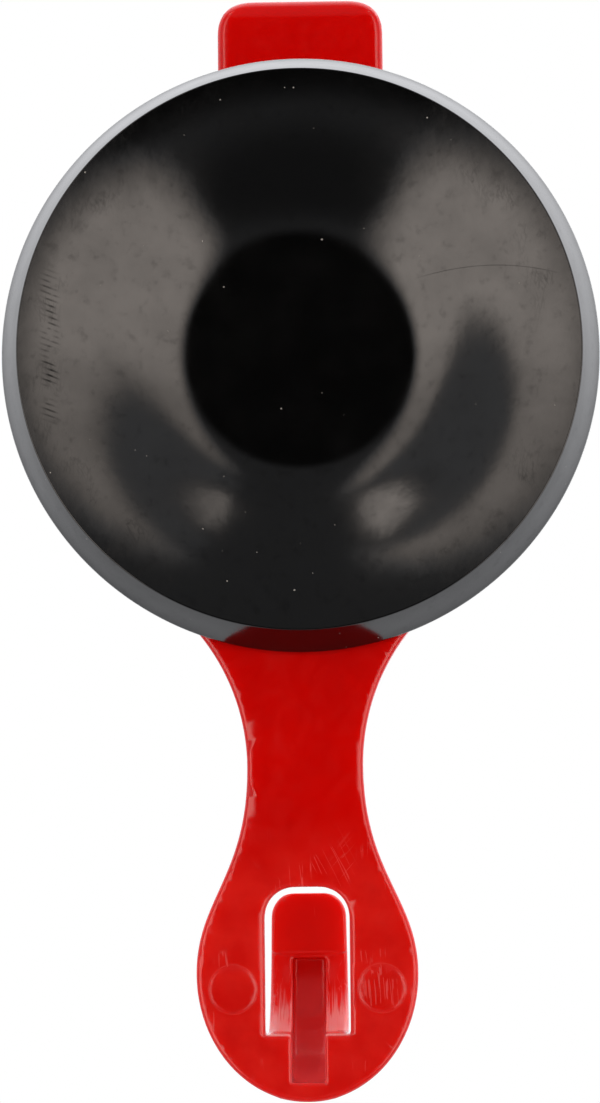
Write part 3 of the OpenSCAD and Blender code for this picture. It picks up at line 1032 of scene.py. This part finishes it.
def natural_nylon():
    """Moulded nylon without pigment: milky off-white and waxy, as light goes a little way in."""
    material, tree = new_material("nylon_natural")
    place = surface_place(tree)[0]
    cloud = add(tree, NOISE, {"Vector": place, "Scale": 0.4, "Detail": 3})
    colour = add(tree, MIX, {
        "Factor": add(tree, RANGE, ramp(cloud, 0.35, 0.65)),
        "A": linear("#cdc8ba"), "B": linear("#d8d4c9"),
    }, data_type="RGBA")
    fine = add(tree, NOISE, {"Vector": place, "Scale": 6})
    bump = add(tree, "ShaderNodeBump", {"Height": fine, "Strength": 0.2, "Distance": 0.02 * MM})
    finish_surface(tree, {
        "Base Color": colour, "IOR": 1.53, "Normal": bump,
        "Roughness": add(tree, RANGE, ramp(cloud, 0.3, 0.7, 0.38, 0.5)),
        "Subsurface Weight": 0.3, "Subsurface Radius": (1.0, 0.9, 0.7),
        "Subsurface Scale": 1.0 * MM,
    })
    return material


# ---- assembly ----

def build_object():
    red = red_abs()
    black = cup_pvc()
    nylon = natural_nylon()
    stainless = metal("stainless_sheet", "#c3c1bd", 0.12, 0.25, 0.38, (10, 1, 1))
    zinc = metal("zinc_plate", "#c6c8cb", 0.3, 0.22, 0.34)
    wire = metal("spring_steel_bright", "#b4b5b8", 0.2, 0.18, 0.3)
    rows = [
        (make_cup_bowl(), black, "cup_pvc", "suction_cup"),
        (make_cup_rim(), black, "cup_pvc", "suction_cup"),
        (make_housing(), red, "red_abs", "housing"),
        (make_lever(), red, "red_abs", "lever"),
        (make_stem(), nylon, "stem_nylon", "stem"),
        (make_slip_plate(), stainless, "stainless", "slip_plate"),
        (make_pin(), zinc, "zinc_steel", "pivot_pin"),
        (make_push_nut(), wire, "spring_steel", "push_nut"),
        (make_ring("left_ring", "spacer_left", 0, PIN_R + 0.05), nylon, "stem_nylon", "spacer_left"),
        (make_ring("right_ring", "spacer_right", 0, PIN_R + 0.05), nylon, "stem_nylon", "spacer_right"),
        (make_ring("washer_ring", "spring_washer", 2, 6.4), zinc, "zinc_steel", "spring_washer"),
        (make_spring(), wire, "spring_steel", "return_spring"),
    ]
    for obj, material, slot, node in rows:
        obj.data.materials.clear()
        obj.data.materials.append(material)
        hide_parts(node)


# ---- floor, light and camera ----

FLOOR_Z = -0.11
FLOOR_R = 0.78


def make_floor():
    """A pale disc under the hook that fades into the white background at its edge."""
    turns = np.arange(96) * (2 * math.pi / 96)
    ring = [(FLOOR_R * math.cos(w), FLOOR_R * math.sin(w), FLOOR_Z) for w in turns]
    mesh = bpy.data.meshes.new("floor")
    mesh.from_pydata(ring, [], [list(range(len(ring)))])
    floor = bpy.data.objects.new("floor", mesh)
    bpy.context.scene.collection.objects.link(floor)
    floor.visible_glossy = False
    material, tree = new_material("floor_pale")
    place = add(tree, "ShaderNodeSeparateXYZ", {0: add(tree, "ShaderNodeTexCoord").outputs["Object"]})
    away = distance_to(tree, place.outputs[0], place.outputs[1], 0, 0)
    fade = add(tree, RANGE, ramp(away, FLOOR_R * 0.35, FLOOR_R * 0.95), interpolation_type="SMOOTHSTEP")
    seen = add(tree, "ShaderNodeLightPath").outputs["Is Camera Ray"]
    paint = add(tree, "ShaderNodeBsdfDiffuse", {"Color": linear("#cdcdcb")})
    white = add(tree, "ShaderNodeEmission", {"Color": (1, 1, 1, 1), "Strength": 1.0})
    both = add(tree, "ShaderNodeMixShader", {0: where_all(tree, fade, seen), 1: paint, 2: white})
    add(tree, "ShaderNodeOutputMaterial", {"Surface": both})
    mesh.materials.append(material)


def make_world():
    """White to the camera. The object sees white card behind it and two softboxes before it.

    The softboxes are drawn by u, how far to the side, and v, how far up, on a plane one unit in
    front of the cup. Their outer top corners are cut off aslant. A small window stands over each.
    """
    world = bpy.data.worlds.new("studio")
    bpy.context.scene.world = world
    world.use_nodes = True
    tree = world.node_tree
    tree.nodes.clear()
    parts = add(tree, "ShaderNodeSeparateXYZ", {0: add(tree, "ShaderNodeTexCoord").outputs["Generated"]})
    side, ahead, height = parts.outputs
    depth = add(tree, MATH, {0: ahead, 1: 0.05}, operation="MAXIMUM")
    u = add(tree, MATH, {0: side, 1: depth}, operation="DIVIDE")
    v = add(tree, MATH, {0: height, 1: depth}, operation="DIVIDE")
    before = add(tree, RANGE, ramp(ahead, 0.06, 0.2), interpolation_type="SMOOTHSTEP")

    # The card behind is brighter above. The room before it is dim, and darkest at the camera.
    card = add(tree, RANGE, ramp(height, -0.55, 0.5, 0.8, 1.65), interpolation_type="SMOOTHSTEP")
    card = where_all(tree, card, add(tree, RANGE, ramp(side, -0.6, 0.6, 1.14, 0.86)))
    room = add(tree, MATH, {0: v, 1: 0.85}, operation="ADD")
    room = add(tree, MATH, {0: room}, operation="ABSOLUTE")
    room = add(tree, RANGE, ramp(room, 0.05, 0.5, 0.09, 0.24), interpolation_type="SMOOTHSTEP")
    front = add(tree, RANGE, ramp(ahead, 0.0, 0.36), interpolation_type="SMOOTHSTEP")
    dark = add(tree, RANGE, ramp(ahead, 0.905, 0.98, 1.0, 0.03), interpolation_type="SMOOTHSTEP")
    total = add(tree, MIX, {"Factor": front, "A": card, "B": room})
    total = where_all(tree, total, dark)

    below = add(tree, MATH, {0: v, 1: 0.0}, operation="MINIMUM")
    near_edge = add(tree, MATH, {0: below, 1: 2.0}, operation="POWER")
    near_edge = add(tree, MATH, {0: near_edge, 1: 0.55, 2: 0.34}, operation="MULTIPLY_ADD")
    warmth = 0.0
    for sign, level, lean, top, pane_level in ((-1, 3.6, 0.55, 1.02, 3.0), (1, 3.7, 1.5, 1.72, 4.2)):
        out = add(tree, MATH, {0: u, 1: sign}, operation="MULTIPLY")
        past = add(tree, MATH, {0: out, 1: near_edge}, operation="SUBTRACT")
        past = add(tree, RANGE, ramp(past, -0.15, 0.15), interpolation_type="SMOOTHSTEP")
        aslant = add(tree, MATH, {0: out, 1: lean, 2: v}, operation="MULTIPLY_ADD")
        cut_off = add(tree, RANGE, ramp(aslant, top + 0.22, top - 0.22), interpolation_type="SMOOTHSTEP")
        fade = add(tree, RANGE, ramp(v, 0.0, 0.5, level, level * 0.62), interpolation_type="SMOOTHSTEP")
        foot = add(tree, RANGE, ramp(v, -1.1, -0.65), interpolation_type="SMOOTHSTEP")
        box = where_all(tree, past, cut_off, fade, foot, before)
        spill = where_all(tree, past, window_of(tree, v, -0.2, 1.15, 0.12), before, 0.6)
        pane = where_all(
            tree, window_of(tree, out, 0.48, 0.92, 0.05), window_of(tree, v, 1.22, 1.8, 0.05),
            pane_level, before,
        )
        total = where_any(tree, total, box, spill, pane)
        warmth = where_any(tree, box, pane, warmth)
    colour = add(tree, MIX, {
        "Factor": add(tree, RANGE, ramp(warmth, 0.3, 1.5)),
        "A": linear("#fafbff"), "B": linear("#fff3ea"),
    }, data_type="RGBA")
    seen = add(tree, "ShaderNodeLightPath").outputs["Is Camera Ray"]
    lit = add(tree, "ShaderNodeBackground", {"Color": colour, "Strength": total})
    plain = add(tree, "ShaderNodeBackground", {"Color": (1, 1, 1, 1), "Strength": 1.0})
    both = add(tree, "ShaderNodeMixShader", {0: seen, 1: lit, 2: plain})
    add(tree, "ShaderNodeOutputWorld", {"Surface": both})


def make_panel(name, x, y, z, size, radiance, mirrored=True):
    """A soft square panel that faces the hook."""
    data = bpy.data.lights.new(name, "AREA")
    data.shape = "SQUARE"
    data.size = size
    data.energy = radiance * math.pi * size**2
    light = bpy.data.objects.new(name, data)
    place = Vector((x, y, z))
    light.location = place
    light.rotation_euler = (-place).to_track_quat("-Z", "Y").to_euler()
    light.visible_camera = False
    light.visible_glossy = mirrored
    bpy.context.scene.collection.objects.link(light)


def make_camera():
    """Square to the wall side, 0.42 m off, a little low, to one side and tilted."""
    data = bpy.data.cameras.new("camera")
    data.sensor_width = 36
    data.lens = 138.85
    data.clip_start = 0.01
    data.clip_end = 20
    camera = bpy.data.objects.new("camera", data)
    place = Vector((-0.0102, 0.4184, -0.0572))
    aim = Vector((0.00012, 0, -0.020343))
    camera.location = place
    turn = (aim - place).to_track_quat("-Z", "Y")
    camera.rotation_euler = (turn @ Quaternion((0, 0, 1), math.radians(-0.625))).to_euler()
    bpy.context.scene.collection.objects.link(camera)
    bpy.context.scene.camera = camera


bpy.context.scene.view_settings.view_transform = "Standard"
make_camera()
build_object()
make_floor()
make_world()
make_panel("panel_above", 0.0, -0.05, 0.78, 0.62, 0.5, mirrored=False)
make_panel("panel_behind", -0.52, -0.34, 0.6, 0.3, 2.2)
